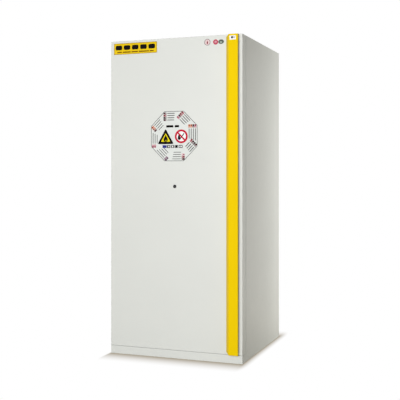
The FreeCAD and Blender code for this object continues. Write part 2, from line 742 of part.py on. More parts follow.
def door_gasket():
    """The seal round the plug that the closed door presses on the frame."""
    inner, outer = 4.0, 16.0
    ring = box(-X_IN - outer, X_IN + outer, Y_DOOR_BACK, Y_FRAME - EPS, Z_IN_LOW - outer, Z_IN_HIGH + outer)
    return ring.cut(box(-X_IN - inner, X_IN + inner, Y_DOOR_BACK - OVER, Y_FRAME,
                        Z_IN_LOW - inner, Z_IN_HIGH + inner))


def handle_outline(z):
    """The bent section of the handle: fixing flange, slanted flank, flat front, and a lip at the grip."""
    t = HANDLE_SHEET
    front = Y_HANDLE
    bend = HANDLE_LEFT + HANDLE_FLANK
    flange_end = HANDLE_LEFT + HANDLE_FLANGE
    slant = math.atan2(Y_DOOR - Y_HANDLE, HANDLE_FLANK)
    bend_inset = t * math.tan(slant / 2)
    foot_inset = t / math.tan(slant / 2)
    return [V(HANDLE_LEFT, Y_DOOR, z), V(bend, front, z), V(HANDLE_RIGHT, front, z),
            V(HANDLE_RIGHT, front + HANDLE_LIP, z), V(HANDLE_RIGHT - t, front + HANDLE_LIP, z),
            V(HANDLE_RIGHT - t, front + t, z), V(bend + bend_inset, front + t, z),
            V(HANDLE_LEFT + foot_inset, Y_DOOR - t, z), V(flange_end, Y_DOOR - t, z),
            V(flange_end, Y_DOOR, z)]


def handle_profile():
    """The full-height pull profile, its left corners cut on the slant at both ends."""
    bar = prism(handle_outline(HANDLE_LOW), HANDLE_HIGH - HANDLE_LOW)
    left, reach = HANDLE_LEFT - OVER, HANDLE_LEFT + HANDLE_FLANK
    y0, y1 = Y_HANDLE - OVER, Y_DOOR + OVER
    corners = []
    for z, rise in ((HANDLE_HIGH, -HANDLE_CORNER), (HANDLE_LOW, HANDLE_CORNER)):
        triangle = [V(left, y0, z + rise), V(reach, y0, z), V(left, y0, z)]
        face = Part.Face(Part.makePolygon(triangle + triangle[:1]))
        corners.append(face.extrude(V(0, y1 - y0, 0)))
    return cut(bar, corners + handle_screw_holes())


def handle_screw_places():
    """Screws along the hidden flange of the handle."""
    x = HANDLE_LEFT + HANDLE_FLANGE - HANDLE_SCREW_INSET
    lowest = (HANDLE_LOW + HANDLE_HIGH - (HANDLE_SCREWS - 1) * HANDLE_SCREW_PITCH) / 2
    return [(x, Y_DOOR - HANDLE_SHEET, lowest + k * HANDLE_SCREW_PITCH, V(0, -1, 0))
            for k in range(HANDLE_SCREWS)]


def handle_screw_holes():
    """Clearance for the handle screws."""
    return [screw_hole(*place) for place in handle_screw_places()]


def handle_screws():
    """The screws that hold the handle."""
    return Part.makeCompound([screw(*place) for place in handle_screw_places()])


def door_skin_with_holes():
    """The outer pan, drilled for the handle screws."""
    return cut(door_skin(), handle_screw_holes())


def door_core_with_holes():
    """The insulation, drilled for the handle screws."""
    return cut(door_core(), handle_screw_holes())


def hazard_label():
    """The octagonal printed film on the door, with level and upright flats."""
    corner_r = OCTAGON_FLATS / 2 / math.cos(math.pi / 8)
    x, z = OCTAGON
    corners = []
    for k in range(8):
        angle = math.pi / 8 + k * math.pi / 4
        corners.append(V(x + corner_r * math.cos(angle), Y_DOOR, z + corner_r * math.sin(angle)))
    return Part.Face(Part.makePolygon(corners + corners[:1])).extrude(V(0, -FILM, 0))


def name_plate():
    """The long printed film at the top left of the door."""
    plate = box(*PLATE_X, Y_DOOR - FILM, Y_DOOR, *PLATE_Z)
    corner_edges = [e for e in plate.Edges if e.Length < 2 * FILM]
    return plate.makeFillet(PLATE_CORNER, corner_edges)


def small_labels():
    """Two round inspection stickers, one oval sticker and a small one at the top of the handle."""
    discs = [Part.makeCylinder(r, FILM, V(x, Y_DOOR, z), V(0, -1, 0)) for x, z, r in DISC_LABELS]
    oval_centre = V(OVAL_LABEL[0], Y_DOOR, OVAL_LABEL[1])
    oval = Part.Face(Part.Wire(Part.Ellipse(oval_centre, *OVAL_HALF_AXES).toShape()))
    oval.rotate(oval_centre, V(1, 0, 0), 90)
    on_handle = box(*HANDLE_LABEL_X, Y_HANDLE - FILM, Y_HANDLE,
                    HANDLE_LABEL_TOP - HANDLE_LABEL_HEIGHT, HANDLE_LABEL_TOP)
    return Part.makeCompound(discs + [oval.extrude(V(0, -FILM, 0)), on_handle])


# ---------------------------------------------------------------- lock

def along_lock(radius, y0, y1):
    """A cylinder on the lock's axis."""
    return Part.makeCylinder(radius, y1 - y0, V(0, y0, LOCK_Z), V(0, 1, 0))


def lock_housing():
    """The fixed barrel of the lock with its round rose on the door's face."""
    barrel = along_lock(LOCK_R, Y_DOOR - LOCK_PROUD, CHANNEL_FRONT)
    return barrel.cut(along_lock(LOCK_PLUG_R + RUNNING_FIT, Y_DOOR - LOCK_PROUD - OVER, CHANNEL_FRONT + OVER))


def lock_plug():
    """The turning plug with its keyway and the tailpiece that carries the pinion."""
    key_half_width, key_half_height, key_depth, step = 0.7, 4.0, 18.0, 0.4
    face = Y_DOOR - LOCK_PROUD - step
    plug = along_lock(LOCK_PLUG_R, face, Y_DOOR_BACK)
    tail = along_lock(TAILPIECE_R, Y_DOOR_BACK, ROD_Y + GEAR_WIDTH / 2)
    keyway = box(-key_half_width, key_half_width, face - OVER, face + key_depth,
                 LOCK_Z - key_half_height, LOCK_Z + key_half_height)
    return fuse([plug, tail]).cut(keyway)


def involute(angle):
    """The involute function of a pressure angle."""
    return math.tan(angle) - angle


def half_tooth_angle(radius):
    """Half the angle that one pinion tooth covers at a radius."""
    base_r = PITCH_R * math.cos(PRESSURE_ANGLE)
    at_pitch = (math.pi * MODULE / 4 - FLANK_THINNING) / PITCH_R
    pressure = math.acos(min(1.0, base_r / radius))
    return at_pitch + involute(PRESSURE_ANGLE) - involute(pressure)


def lock_pinion():
    """The involute pinion on the tailpiece."""
    base_r = PITCH_R * math.cos(PRESSURE_ANGLE)
    tip_r = PITCH_R + ADDENDUM
    root_r = PITCH_R - DEDENDUM
    y0 = ROD_Y - GEAR_WIDTH / 2

    def at(radius, angle):
        return V(radius * math.cos(angle), y0, LOCK_Z + radius * math.sin(angle))

    flank_steps = 4
    radii = [base_r + (tip_r - base_r) * k / flank_steps for k in range(flank_steps + 1)]
    pitch_angle = 2 * math.pi / TEETH
    edges = []
    for tooth in range(TEETH):
        centre = tooth * pitch_angle
        root_half = half_tooth_angle(base_r)
        rising = [at(r, centre - half_tooth_angle(r)) for r in radii]
        falling = [at(r, centre + half_tooth_angle(r)) for r in reversed(radii)]
        root_start = at(root_r, centre - root_half)
        root_end = at(root_r, centre + root_half)
        next_root = at(root_r, centre + pitch_angle - root_half)
        flank_up, flank_down = Part.BSplineCurve(), Part.BSplineCurve()
        flank_up.interpolate(rising)
        flank_down.interpolate(falling)
        edges += [Part.makeLine(root_start, rising[0]), flank_up.toShape(),
                  Part.Arc(rising[-1], at(tip_r, centre), falling[0]).toShape(),
                  flank_down.toShape(), Part.makeLine(falling[-1], root_end),
                  Part.Arc(root_end, at(root_r, centre + pitch_angle / 2), next_root).toShape()]
    blank = Part.Face(Part.Wire(edges)).extrude(V(0, GEAR_WIDTH, 0))
    return blank.cut(along_lock(TAILPIECE_R, y0 - OVER, y0 + GEAR_WIDTH + OVER))


def rack(first_tooth, last_tooth):
    """The toothed bar right of the pinion, with a tooth gap level with the pinion's axis."""
    pitch = math.pi * MODULE
    tip_x = PITCH_R - ADDENDUM
    root_x = PITCH_R + DEDENDUM
    half_at_pitch = pitch / 4 - FLANK_THINNING
    slope = math.tan(PRESSURE_ANGLE)
    half_root = half_at_pitch + (root_x - PITCH_R) * slope
    half_tip = half_at_pitch - (PITCH_R - tip_x) * slope
    y0 = ROD_Y - GEAR_WIDTH / 2
    points = [V(RACK_BACK, y0, LOCK_Z + first_tooth * pitch), V(root_x, y0, LOCK_Z + first_tooth * pitch)]
    for tooth in range(first_tooth, last_tooth):
        z = LOCK_Z + (tooth + 0.5) * pitch
        points += [V(root_x, y0, z - half_root), V(tip_x, y0, z - half_tip),
                   V(tip_x, y0, z + half_tip), V(root_x, y0, z + half_root)]
    points += [V(root_x, y0, LOCK_Z + last_tooth * pitch), V(RACK_BACK, y0, LOCK_Z + last_tooth * pitch)]
    return Part.Face(Part.makePolygon(points + points[:1])).extrude(V(0, GEAR_WIDTH, 0))


def bolt_rod(length):
    """A bolt rod above the lock whose lower end is a rack."""
    teeth_below, teeth_above, chamfer = 8, 4, 1.0
    bar = rack(-teeth_below, teeth_above)
    start = LOCK_Z + teeth_above * math.pi * MODULE - OVER
    rod = post(ROD_X, ROD_Y, start, LOCK_Z + length, ROD_R)
    tip = rod.makeChamfer(chamfer, [e for e in rod.Edges if abs(e.CenterOfMass.z - LOCK_Z - length) < EPS])
    return fuse([bar, tip])


def upper_bolt_rod():
    """The rod that rises into the cup above the opening."""
    return bolt_rod(Z_PLUG_HIGH - ROD_TIP_INSET - LOCK_Z)


def lower_bolt_rod():
    """The rod that drops into the cup below the opening."""
    rod = bolt_rod(LOCK_Z - Z_PLUG_LOW - ROD_TIP_INSET)
    rod.rotate(V(0, ROD_Y, LOCK_Z), V(0, 1, 0), 180)
    return rod


def lock_gear_case():
    """The channel-shaped case that holds the pinion and guides both racks."""
    side_play, half_height, wall_half, rack_play = 0.5, 45.0, 2.0, 0.5
    half = CHANNEL_HALF - side_play
    wall_x = RACK_BACK + rack_play + wall_half
    back = Y_PLUG - SHEET
    plate = box(-half, half, CHANNEL_FRONT, CHANNEL_FRONT + SHEET, LOCK_Z - half_height, LOCK_Z + half_height)
    walls = [box(s * wall_x - wall_half, s * wall_x + wall_half, CHANNEL_FRONT, back,
                 LOCK_Z - half_height, LOCK_Z + half_height) for s in (-1, 1)]
    tail_hole = along_lock(TAILPIECE_R + RUNNING_FIT, CHANNEL_FRONT - OVER, CHANNEL_FRONT + SHEET + OVER)
    return fuse([plate] + walls).cut(tail_hole)


def rod_guides():
    """Bored blocks that keep the bolt rods straight inside the plug."""
    half_width, half_height = 8.0, 10.0
    guides = []
    for x, heights in ((ROD_X, UPPER_GUIDES_Z), (-ROD_X, LOWER_GUIDES_Z)):
        for z in heights:
            block = box(x - half_width, x + half_width, CHANNEL_FRONT, Y_PLUG - SHEET,
                        z - half_height, z + half_height)
            bore = post(x, ROD_Y, z - half_height - OVER, z + half_height + OVER, ROD_R + RUNNING_FIT)
            guides.append(block.cut(bore))
    return Part.makeCompound(guides)


# ---------------------------------------------------------------- door stay

def stay_point(angle, z):
    """A point on the stay circle."""
    return V(HINGE_X + STAY_R * math.cos(angle), HINGE_Y + STAY_R * math.sin(angle), z)


def along_stay(shape):
    """Moves a shape drawn along +X from the origin to lie along the closed stay, from its door pivot."""
    direction = STAY_DOOR_ANGLE + STAY_SPAN / 2 + math.pi / 2
    turn = FreeCAD.Rotation(V(0, 0, 1), math.degrees(direction))
    shape.Placement = FreeCAD.Placement(stay_point(STAY_DOOR_ANGLE, 0), turn)
    return shape


def stay_arm():
    """The flat arm with an eye on the door pin and a stop block at its free end."""
    stop_play, stop_proud = 0.5, 3.0
    longest = 2 * STAY_R * math.sin((DOOR_OPENING + STAY_SPAN) / 2)
    reach = longest + GUIDE_HALF_LENGTH + stop_play
    top = STAY_Z + STAY_THICKNESS
    flat = box(0, reach + STAY_STOP, -STAY_WIDTH / 2, STAY_WIDTH / 2, STAY_Z, top)
    eye = post(0, 0, STAY_Z, top, STAY_EYE_R)
    stop = box(reach, reach + STAY_STOP, -STAY_WIDTH / 2 - stop_proud, STAY_WIDTH / 2 + stop_proud,
               STAY_Z - stop_proud, top + stop_proud)
    hole = post(0, 0, STAY_Z - OVER, top + OVER, STAY_PIN_R + RUNNING_FIT)
    return along_stay(fuse([flat, eye, stop]).cut(hole))


def stay_guide():
    """The swivelling block through which the arm slides."""
    centre = 2 * STAY_R * math.sin(STAY_SPAN / 2)
    pin_depth = 7.0
    low, high = STAY_Z - GUIDE_BELOW, STAY_Z + STAY_THICKNESS + GUIDE_ABOVE
    block = box(centre - GUIDE_HALF_LENGTH, centre + GUIDE_HALF_LENGTH,
                -GUIDE_HALF_WIDTH, GUIDE_HALF_WIDTH, low, high)
    half = STAY_WIDTH / 2 + STAY_FREE
    passage = box(0, 2 * centre, -half, half, STAY_Z - STAY_FREE, STAY_Z + STAY_THICKNESS + STAY_FREE)
    pivot = post(centre, 0, low - OVER, low + pin_depth, STAY_PIN_R + RUNNING_FIT)
    return along_stay(cut(block, [passage, pivot]))


def stay_pedestal():
    """The post on the service tray that carries the guide."""
    foot_height, foot_r, post_r, pin_top_gap = 4.0, 18.0, 9.0, 3.5
    angle = STAY_DOOR_ANGLE + STAY_SPAN
    shoulder = STAY_Z - GUIDE_BELOW - EPS
    return fuse([hinge_disc(angle, Z_TRAY, Z_TRAY + foot_height, foot_r),
                 hinge_disc(angle, Z_TRAY, shoulder, post_r),
                 hinge_disc(angle, shoulder, STAY_Z - pin_top_gap, STAY_PIN_R)])


def stay_bracket():
    """The angle on the inside of the door with the pin for the arm."""
    sheet, half_width, base_left, base_half_height, head, head_r = 3.0, 10.0, 24.0, 12.0, 3.0, 7.0
    pin = stay_point(STAY_DOOR_ANGLE, 0)
    ear_top = STAY_Z - EPS
    base = box(pin.x - base_left, pin.x + half_width, Y_DOOR_BACK, Y_DOOR_BACK + sheet,
               ear_top - base_half_height, STAY_Z + base_half_height)
    ear = box(pin.x - half_width, pin.x + half_width, Y_DOOR_BACK, pin.y, ear_top - sheet, ear_top)
    nose = post(pin.x, pin.y, ear_top - sheet, ear_top, half_width)
    top = STAY_Z + STAY_THICKNESS + EPS
    shank = post(pin.x, pin.y, ear_top, top, STAY_PIN_R)
    head = post(pin.x, pin.y, top, top + head, head_r)
    return fuse([base, ear, nose, shank, head])


PIECES = {
    "left_side_panel": left_side_panel,
    "right_side_panel": side_panel,
    "back_panel": back_panel,
    "top_cover": top_cover,
    "base_pan": base_pan,
    "levelling_feet": levelling_feet,
    "foot_lock_nuts": foot_lock_nuts,
    "plinth_cover": plinth_cover,
    "front_frame": front_frame,
    "service_tray": service_tray,
    "casing_screws": casing_screws,
    "floor_insulation": floor_insulation,
    "ceiling_insulation": ceiling_insulation,
    "back_insulation": back_insulation,
    "left_insulation": left_insulation,
    "right_insulation": right_insulation,
    "floor_liner": floor_liner,
    "ceiling_liner": ceiling_liner,
    "back_liner": back_liner,
    "left_liner": left_liner,
    "right_liner": right_liner,
    "frame_fire_seal": frame_fire_seal,
    "upper_shelf": upper_shelf,
    "lower_shelf": lower_shelf,
    "sump_tray": sump_tray,
    "sump_grid": sump_grid,
    "shelf_rails": shelf_rails,
    "shelf_clips": shelf_clips,
    "exhaust_duct": exhaust_duct,
    "inlet_diffuser": inlet_diffuser,
    "exhaust_spigot": exhaust_spigot,
    "inlet_spigot": inlet_spigot,
    "exhaust_damper_flap": exhaust_damper_flap,
    "inlet_damper_flap": inlet_damper_flap,
    "earth_terminal": earth_terminal,
    "upper_pivot_bracket": upper_pivot_bracket,
    "lower_pivot_bracket": lower_pivot_bracket,
    "pivot_washer": pivot_washer,
    "stay_pedestal": stay_pedestal,
    "stay_guide": stay_guide,
    "stay_arm": stay_arm,
    "stay_bracket": stay_bracket,
    "door_skin": door_skin_with_holes,
    "door_inner_skin": door_inner_skin,
    "door_core": door_core_with_holes,
    "door_gasket": door_gasket,
    "pivot_bushes": pivot_bushes,
    "handle_profile": handle_profile,
    "handle_screws": handle_screws,
    "lock_housing": lock_housing,
    "lock_plug": lock_plug,
    "lock_pinion": lock_pinion,
    "lock_gear_case": lock_gear_case,
    "rod_guides": rod_guides,
    "upper_bolt_rod": upper_bolt_rod,
    "lower_bolt_rod": lower_bolt_rod,
    "hazard_label": hazard_label,
    "name_plate": name_plate,
    "small_labels": small_labels,
}

os.makedirs("parts", exist_ok=True)
for name, make in PIECES.items():
    shape = make()
    if not shape.isValid():
        raise ValueError(f"{name} is not a valid shape")
    shape.exportStep(f"parts/{name}.step")
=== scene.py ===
import json
import math

import bpy
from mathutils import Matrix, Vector


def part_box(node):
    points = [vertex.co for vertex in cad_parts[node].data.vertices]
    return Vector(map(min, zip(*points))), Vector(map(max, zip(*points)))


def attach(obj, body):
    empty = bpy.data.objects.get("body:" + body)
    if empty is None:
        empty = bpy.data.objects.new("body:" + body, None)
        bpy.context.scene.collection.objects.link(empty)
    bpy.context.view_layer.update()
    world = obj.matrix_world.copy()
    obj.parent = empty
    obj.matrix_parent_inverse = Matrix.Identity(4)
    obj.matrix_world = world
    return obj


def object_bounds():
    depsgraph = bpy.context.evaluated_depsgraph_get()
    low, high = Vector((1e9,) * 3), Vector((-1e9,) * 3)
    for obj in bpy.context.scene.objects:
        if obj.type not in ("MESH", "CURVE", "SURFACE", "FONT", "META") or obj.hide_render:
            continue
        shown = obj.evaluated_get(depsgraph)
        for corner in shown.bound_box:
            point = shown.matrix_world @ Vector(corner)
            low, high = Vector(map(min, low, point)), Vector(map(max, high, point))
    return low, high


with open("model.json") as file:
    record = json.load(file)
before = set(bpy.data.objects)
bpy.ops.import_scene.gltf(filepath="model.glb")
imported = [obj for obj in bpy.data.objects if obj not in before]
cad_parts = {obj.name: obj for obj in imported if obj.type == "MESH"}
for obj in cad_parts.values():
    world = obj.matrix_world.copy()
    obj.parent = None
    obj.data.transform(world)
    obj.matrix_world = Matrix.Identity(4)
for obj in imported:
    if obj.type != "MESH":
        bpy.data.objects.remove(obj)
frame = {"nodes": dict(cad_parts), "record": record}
cad_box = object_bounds()

MM = 0.001

# Camera: level, in front of the handle side and turned left towards the door.
# The lens is in millimetres, the shift in picture widths.
CAMERA_TURN = math.radians(20.36)
CAMERA_PLACE = Vector((1.2633, -3.3819, 0.7942))
CAMERA_LENS = 70.95
CAMERA_SHIFT = -0.0718

# Floor: its reach, the colour that bounces light, the soft shadow where the object meets it, and how
# steeply that shadow fades
FLOOR_REACH = 30.0
FLOOR_BOUNCE = (0.55, 0.515, 0.45)
CONTACT_SHADOW = (0.40, 0.35, 0.27)
CONTACT_SHADOW_FALL = 1.55
# How far that shadow reaches beyond the low and the high side of the footprint, along X and along Y
CONTACT_SHADOW_REACH = {"X": (0.012, 0.034), "Y": (0.138, 0.138)}

# Strength and tint of the light from all round
AMBIENT = 0.305
AMBIENT_TINT = (1.0, 0.965, 0.88)

# Colours, linear
WHITE = (1.0, 1.0, 1.0)
COOL_WHITE = (0.955, 0.965, 1.0)
GREY_COAT = (0.60, 0.615, 0.585)
TRAY_COAT = (0.42, 0.44, 0.44)
YELLOW_COAT = (0.72, 0.50, 0.002)
YELLOW_GLOSS = (1.0, 0.75, 0.05)
ZINC = (0.60, 0.61, 0.62)
STEEL = (0.56, 0.56, 0.57)
LOCK_CORE = (0.085, 0.085, 0.088)
BRASS = (0.72, 0.50, 0.20)
FIRE_BOARD = (0.58, 0.54, 0.44)
LAMINATE = (0.80, 0.80, 0.77)
SEAL_FOAM = (0.018, 0.018, 0.018)
FOOT_PLASTIC = (0.012, 0.012, 0.013)
BLACK_OXIDE = (0.010, 0.010, 0.011)
FILM_WHITE = (0.62, 0.645, 0.62)
FILM_YELLOW = (0.68, 0.47, 0.004)

INKS = {
    "black": (0.006, 0.005, 0.005),
    "dark": (0.050, 0.008, 0.014),
    "red": (0.46, 0.008, 0.030),
    "crimson": (0.27, 0.014, 0.030),
    "rose": (0.42, 0.085, 0.14),
    "pale_rose": (0.62, 0.34, 0.38),
    "blush": (0.66, 0.52, 0.52),
    "orange": (0.50, 0.12, 0.035),
    "violet": (0.11, 0.035, 0.10),
    "yellow": (0.72, 0.60, 0.005),
    "blue": (0.030, 0.035, 0.20),
    "grey": (0.09, 0.09, 0.09),
    "brown": (0.17, 0.075, 0.004),
    "green_grey": (0.080, 0.100, 0.090),
    "pale_green": (0.30, 0.36, 0.31),
    "white": (0.78, 0.79, 0.78),
}

# Strength of the clear reflection; 0.5 is ordinary lacquer
COAT_GLOSS = 0.4
HANDLE_GLOSS = 0.2
FILM_GLOSS = 0.1
INK_GLOSS = 0.03

# Rounding seen at the edges of coated sheets, and of the thinner trays
SHEET_EDGE = 2.2 * MM
TRAY_EDGE = 0.8 * MM

# The values between which a noise mostly stays
NOISE_LOW = 0.3
NOISE_HIGH = 0.7
# Edge shading: rays per point, and the lean of the rounded normal, as a cosine, where an edge counts in full
EDGE_SAMPLES = 4
EDGE_LEAN = 0.8

# A face with this much of its normal along -Y, or more, faces the front
FRONT_SHARE = 0.9


# ---------------------------------------------------------------- shader building blocks

def scaled(colour, factor, lift=0.0):
    """A colour made darker or lighter by a factor, then lifted."""
    return tuple(min(1.0, c * factor + lift) for c in colour)


class Shader:
    """A node material under construction, with its texture coordinates in the row frame."""

    def __init__(self, name, roughness, metallic=0.0):
        self.material = bpy.data.materials.new(name)
        self.material.use_nodes = True
        self.tree = self.material.node_tree
        self.surface = self.tree.nodes["Principled BSDF"]
        self.surface.inputs["Roughness"].default_value = roughness
        self.surface.inputs["Metallic"].default_value = metallic
        self.place = self.add("ShaderNodeTexCoord").outputs["Object"]

    def give(self, socket, value):
        """Feeds an output, a plain colour or a plain number to an input."""
        if isinstance(value, bpy.types.NodeSocket):
            self.tree.links.new(value, socket)
        elif isinstance(value, tuple) and socket.type == "RGBA":
            socket.default_value = (*value, 1.0)
        else:
            socket.default_value = value

    def add(self, kind, **values):
        """A node with the given input values; an output given as a value is linked."""
        node = self.tree.nodes.new(kind)
        for key, value in values.items():
            self.give(node.inputs[key.replace("_", " ")], value)
        return node

    def set(self, key, output):
        """Feeds an output to one of the surface's inputs."""
        self.tree.links.new(output, self.surface.inputs[key])

    def gloss(self, level, tint=WHITE):
        """Strength and tint of the clear reflection."""
        self.surface.inputs["Specular IOR Level"].default_value = level
        self.surface.inputs["Specular Tint"].default_value = (*tint, 1.0)

    def stretched(self, x, y, z):
        """Texture coordinates scaled along each axis."""
        return self.add("ShaderNodeMapping", Vector=self.place, Scale=(x, y, z)).outputs["Vector"]

    def noise(self, scale, detail=4.0, place=None):
        """A cloudy value; the scale is in clouds per metre."""
        place = place or self.place
        return self.add("ShaderNodeTexNoise", Vector=place, Scale=scale, Detail=detail).outputs["Fac"]

    def cells(self, scale):
        """One random value per crystal-like cell."""
        node = self.add("ShaderNodeTexVoronoi", Vector=self.place, Scale=scale)
        return self.add("ShaderNodeSeparateColor", Color=node.outputs["Color"]).outputs["Red"]

    def spread(self, value, low, high):
        """Maps the middle of a 0 to 1 noise to the range low to high."""
        node = self.add("ShaderNodeMapRange", Value=value, From_Min=NOISE_LOW, From_Max=NOISE_HIGH,
                        To_Min=low, To_Max=high)
        return node.outputs["Result"]

    def vary_roughness(self, value, low, high):
        """Lets the surface's roughness follow a noise."""
        self.set("Roughness", self.spread(value, low, high))

    def compute(self, operation, *values):
        """One arithmetic step on outputs or plain numbers."""
        node = self.add("ShaderNodeMath")
        node.operation = operation
        for socket, value in zip(node.inputs, values):
            self.give(socket, value)
        return node.outputs["Value"]

    def mixed(self, factor, a, b):
        """A colour between a and b; each may be an output or a plain colour."""
        node = self.add("ShaderNodeMix")
        node.data_type = "RGBA"
        for key, value in (("Factor_Float", factor), ("A_Color", a), ("B_Color", b)):
            self.give(next(s for s in node.inputs if s.identifier == key), value)
        return next(s for s in node.outputs if s.identifier == "Result_Color")

    def toned(self, colour, amount, scale):
        """The colour with slow light and dark patches of a relative amount."""
        patches = self.spread(self.noise(scale), low=0.0, high=1.0)
        return self.mixed(patches, scaled(colour, 1 - amount), scaled(colour, 1 + amount))

    def edges(self, radius):
        """(softened normal, mask) near the edges of a piece, from a small rounding of its corners."""
        soft = self.add("ShaderNodeBevel", Radius=radius)
        soft.samples = EDGE_SAMPLES
        flat = self.add("ShaderNodeNewGeometry").outputs["True Normal"]
        lean = self.add("ShaderNodeVectorMath")
        lean.operation = "DOT_PRODUCT"
        self.tree.links.new(soft.outputs["Normal"], lean.inputs[0])
        self.tree.links.new(flat, lean.inputs[1])
        mask = self.add("ShaderNodeMapRange", Value=lean.outputs["Value"],
                        From_Min=1.0, From_Max=EDGE_LEAN, To_Min=0.0, To_Max=1.0)
        return soft.outputs["Normal"], mask.outputs["Result"]

    def bump(self, height, depth, normal=None):
        """Feeds a height to the surface's normal, depth in metres."""
        node = self.add("ShaderNodeBump", Height=height, Distance=depth, Strength=1.0)
        if normal is not None:
            self.tree.links.new(normal, node.inputs["Normal"])
        self.set("Normal", node.outputs["Normal"])


# ---------------------------------------------------------------- materials

def powder_coat(name, colour, roughness, edge_radius=SHEET_EDGE, gloss=COAT_GLOSS, gloss_tint=WHITE):
    """Sprayed and baked paint: orange peel, slow tone changes, faint polishing along the edges."""
    roughness_play = 0.06
    s = Shader(name, roughness)
    normal, edge = s.edges(edge_radius)
    worn = s.compute("MULTIPLY", edge, s.spread(s.noise(scale=60.0), low=0.05, high=0.45))
    polished = scaled(colour, 1.10, lift=0.02)
    s.set("Base Color", s.mixed(worn, s.toned(colour, amount=0.018, scale=2.2), polished))
    s.vary_roughness(s.noise(scale=35.0), low=roughness - roughness_play, high=roughness + roughness_play)
    s.bump(s.noise(scale=650.0, detail=2.0), depth=0.025 * MM, normal=normal)
    s.gloss(gloss, gloss_tint)
    return s.material


def galvanised(name):
    """Zinc-coated sheet with its crystal pattern."""
    s = Shader(name, roughness=0.42, metallic=1.0)
    normal, _ = s.edges(radius=0.8 * MM)
    grain = s.cells(scale=130.0)
    s.set("Base Color", s.mixed(grain, scaled(ZINC, 0.86), ZINC))
    s.vary_roughness(grain, low=0.40, high=0.50)
    s.bump(s.noise(scale=300.0), depth=0.006 * MM, normal=normal)
    return s.material


def machined(name, colour, roughness):
    """Turned or drawn metal with fine lines, a few dull patches and brighter edges."""
    edge_share = 0.6
    s = Shader(name, roughness, metallic=1.0)
    normal, edge = s.edges(radius=0.5 * MM)
    lines = s.noise(scale=900.0, detail=3.0, place=s.stretched(1.0, 1.0, 0.06))
    patches = s.spread(s.noise(scale=45.0), low=0.0, high=1.0)
    base = s.mixed(patches, scaled(colour, 0.75), colour)
    s.set("Base Color", s.mixed(s.compute("MULTIPLY", edge, edge_share), base, scaled(colour, 1.2)))
    s.vary_roughness(lines, low=roughness - 0.08, high=roughness + 0.10)
    s.bump(lines, depth=0.01 * MM, normal=normal)
    return s.material


def laminate_board(name):
    """White melamine face with a faint pearl texture."""
    s = Shader(name, roughness=0.38)
    normal, _ = s.edges(radius=0.6 * MM)
    s.set("Base Color", s.toned(LAMINATE, amount=0.02, scale=5.0))
    s.vary_roughness(s.noise(scale=220.0), low=0.32, high=0.46)
    s.bump(s.noise(scale=520.0, detail=2.0), depth=0.015 * MM, normal=normal)
    return s.material


def mineral_board(name):
    """Pressed fire board with specks and short fibres."""
    s = Shader(name, roughness=0.9)
    specks = s.spread(s.noise(scale=420.0, detail=6.0), low=0.0, high=1.0)
    along = s.stretched(1.0, 1.0, 0.15)
    fibres = s.spread(s.noise(scale=240.0, detail=3.0, place=along), low=0.0, high=1.0)
    s.set("Base Color", s.mixed(s.compute("MULTIPLY", specks, fibres), FIRE_BOARD, scaled(FIRE_BOARD, 0.7)))
    s.bump(specks, depth=0.2 * MM)
    return s.material


def foam(name):
    """Dark closed-cell sealing strip."""
    s = Shader(name, roughness=0.85)
    pores = s.noise(scale=1100.0, detail=5.0)
    s.set("Base Color", s.mixed(s.spread(pores, low=0.0, high=1.0), SEAL_FOAM, scaled(SEAL_FOAM, 2.5)))
    s.bump(pores, depth=0.12 * MM)
    return s.material


def moulded_plastic(name, colour):
    """Eroded-texture plastic, rubbed paler at the edges."""
    edge_share = 0.5
    s = Shader(name, roughness=0.5)
    normal, edge = s.edges(radius=0.8 * MM)
    rubbed = scaled(colour, 2.2, lift=0.01)
    worn = s.compute("MULTIPLY", edge, edge_share)
    s.set("Base Color", s.mixed(worn, s.toned(colour, amount=0.15, scale=30.0), rubbed))
    s.vary_roughness(s.noise(scale=90.0), low=0.42, high=0.60)
    s.bump(s.noise(scale=1500.0, detail=2.0), depth=0.03 * MM, normal=normal)
    return s.material


def printed_film(name, colour):
    """Self-adhesive film, slightly wavy and satin."""
    s = Shader(name, roughness=0.35)
    normal, _ = s.edges(radius=0.2 * MM)
    s.set("Base Color", s.toned(colour, amount=0.02, scale=14.0))
    s.vary_roughness(s.noise(scale=70.0), low=0.28, high=0.42)
    s.bump(s.noise(scale=45.0, detail=2.0), depth=0.03 * MM, normal=normal)
    s.gloss(FILM_GLOSS)
    return s.material


def ink(name):
    """A printed colour with the slight grain of a screen print."""
    s = Shader("ink_" + name, roughness=0.4)
    s.set("Base Color", s.toned(INKS[name], amount=0.10, scale=900.0))
    s.vary_roughness(s.noise(scale=160.0), low=0.32, high=0.50)
    s.bump(s.noise(scale=1200.0, detail=2.0), depth=0.008 * MM)
    s.gloss(INK_GLOSS)
    return s.material


SLOT_MATERIALS = {
    "grey_powder_coat": powder_coat("grey_powder_coat", GREY_COAT, roughness=0.46),
    "yellow_powder_coat": powder_coat("yellow_powder_coat", YELLOW_COAT, roughness=0.45,
                                      gloss=HANDLE_GLOSS, gloss_tint=YELLOW_GLOSS),
    "galvanised_sheet": galvanised("galvanised_sheet"),
    "grey_tray_coat": powder_coat("grey_tray_coat", TRAY_COAT, roughness=0.42, edge_radius=TRAY_EDGE),
    "bright_steel": machined("bright_steel", STEEL, roughness=0.34),
    "lock_metal": machined("lock_metal", BLACK_OXIDE, roughness=0.5),
    "lock_core": machined("lock_core", LOCK_CORE, roughness=0.3),
    "brass": machined("brass", BRASS, roughness=0.30),
    "fire_board": mineral_board("fire_board"),
    "white_laminate": laminate_board("white_laminate"),
    "dark_seal": foam("dark_seal"),
    "black_plastic": moulded_plastic("black_plastic", FOOT_PLASTIC),
    "printed_film": printed_film("printed_film", FILM_WHITE),
}
PLATE_FILM = printed_film("yellow_film", FILM_YELLOW)
INK_MATERIALS = {name: ink(name) for name in INKS}


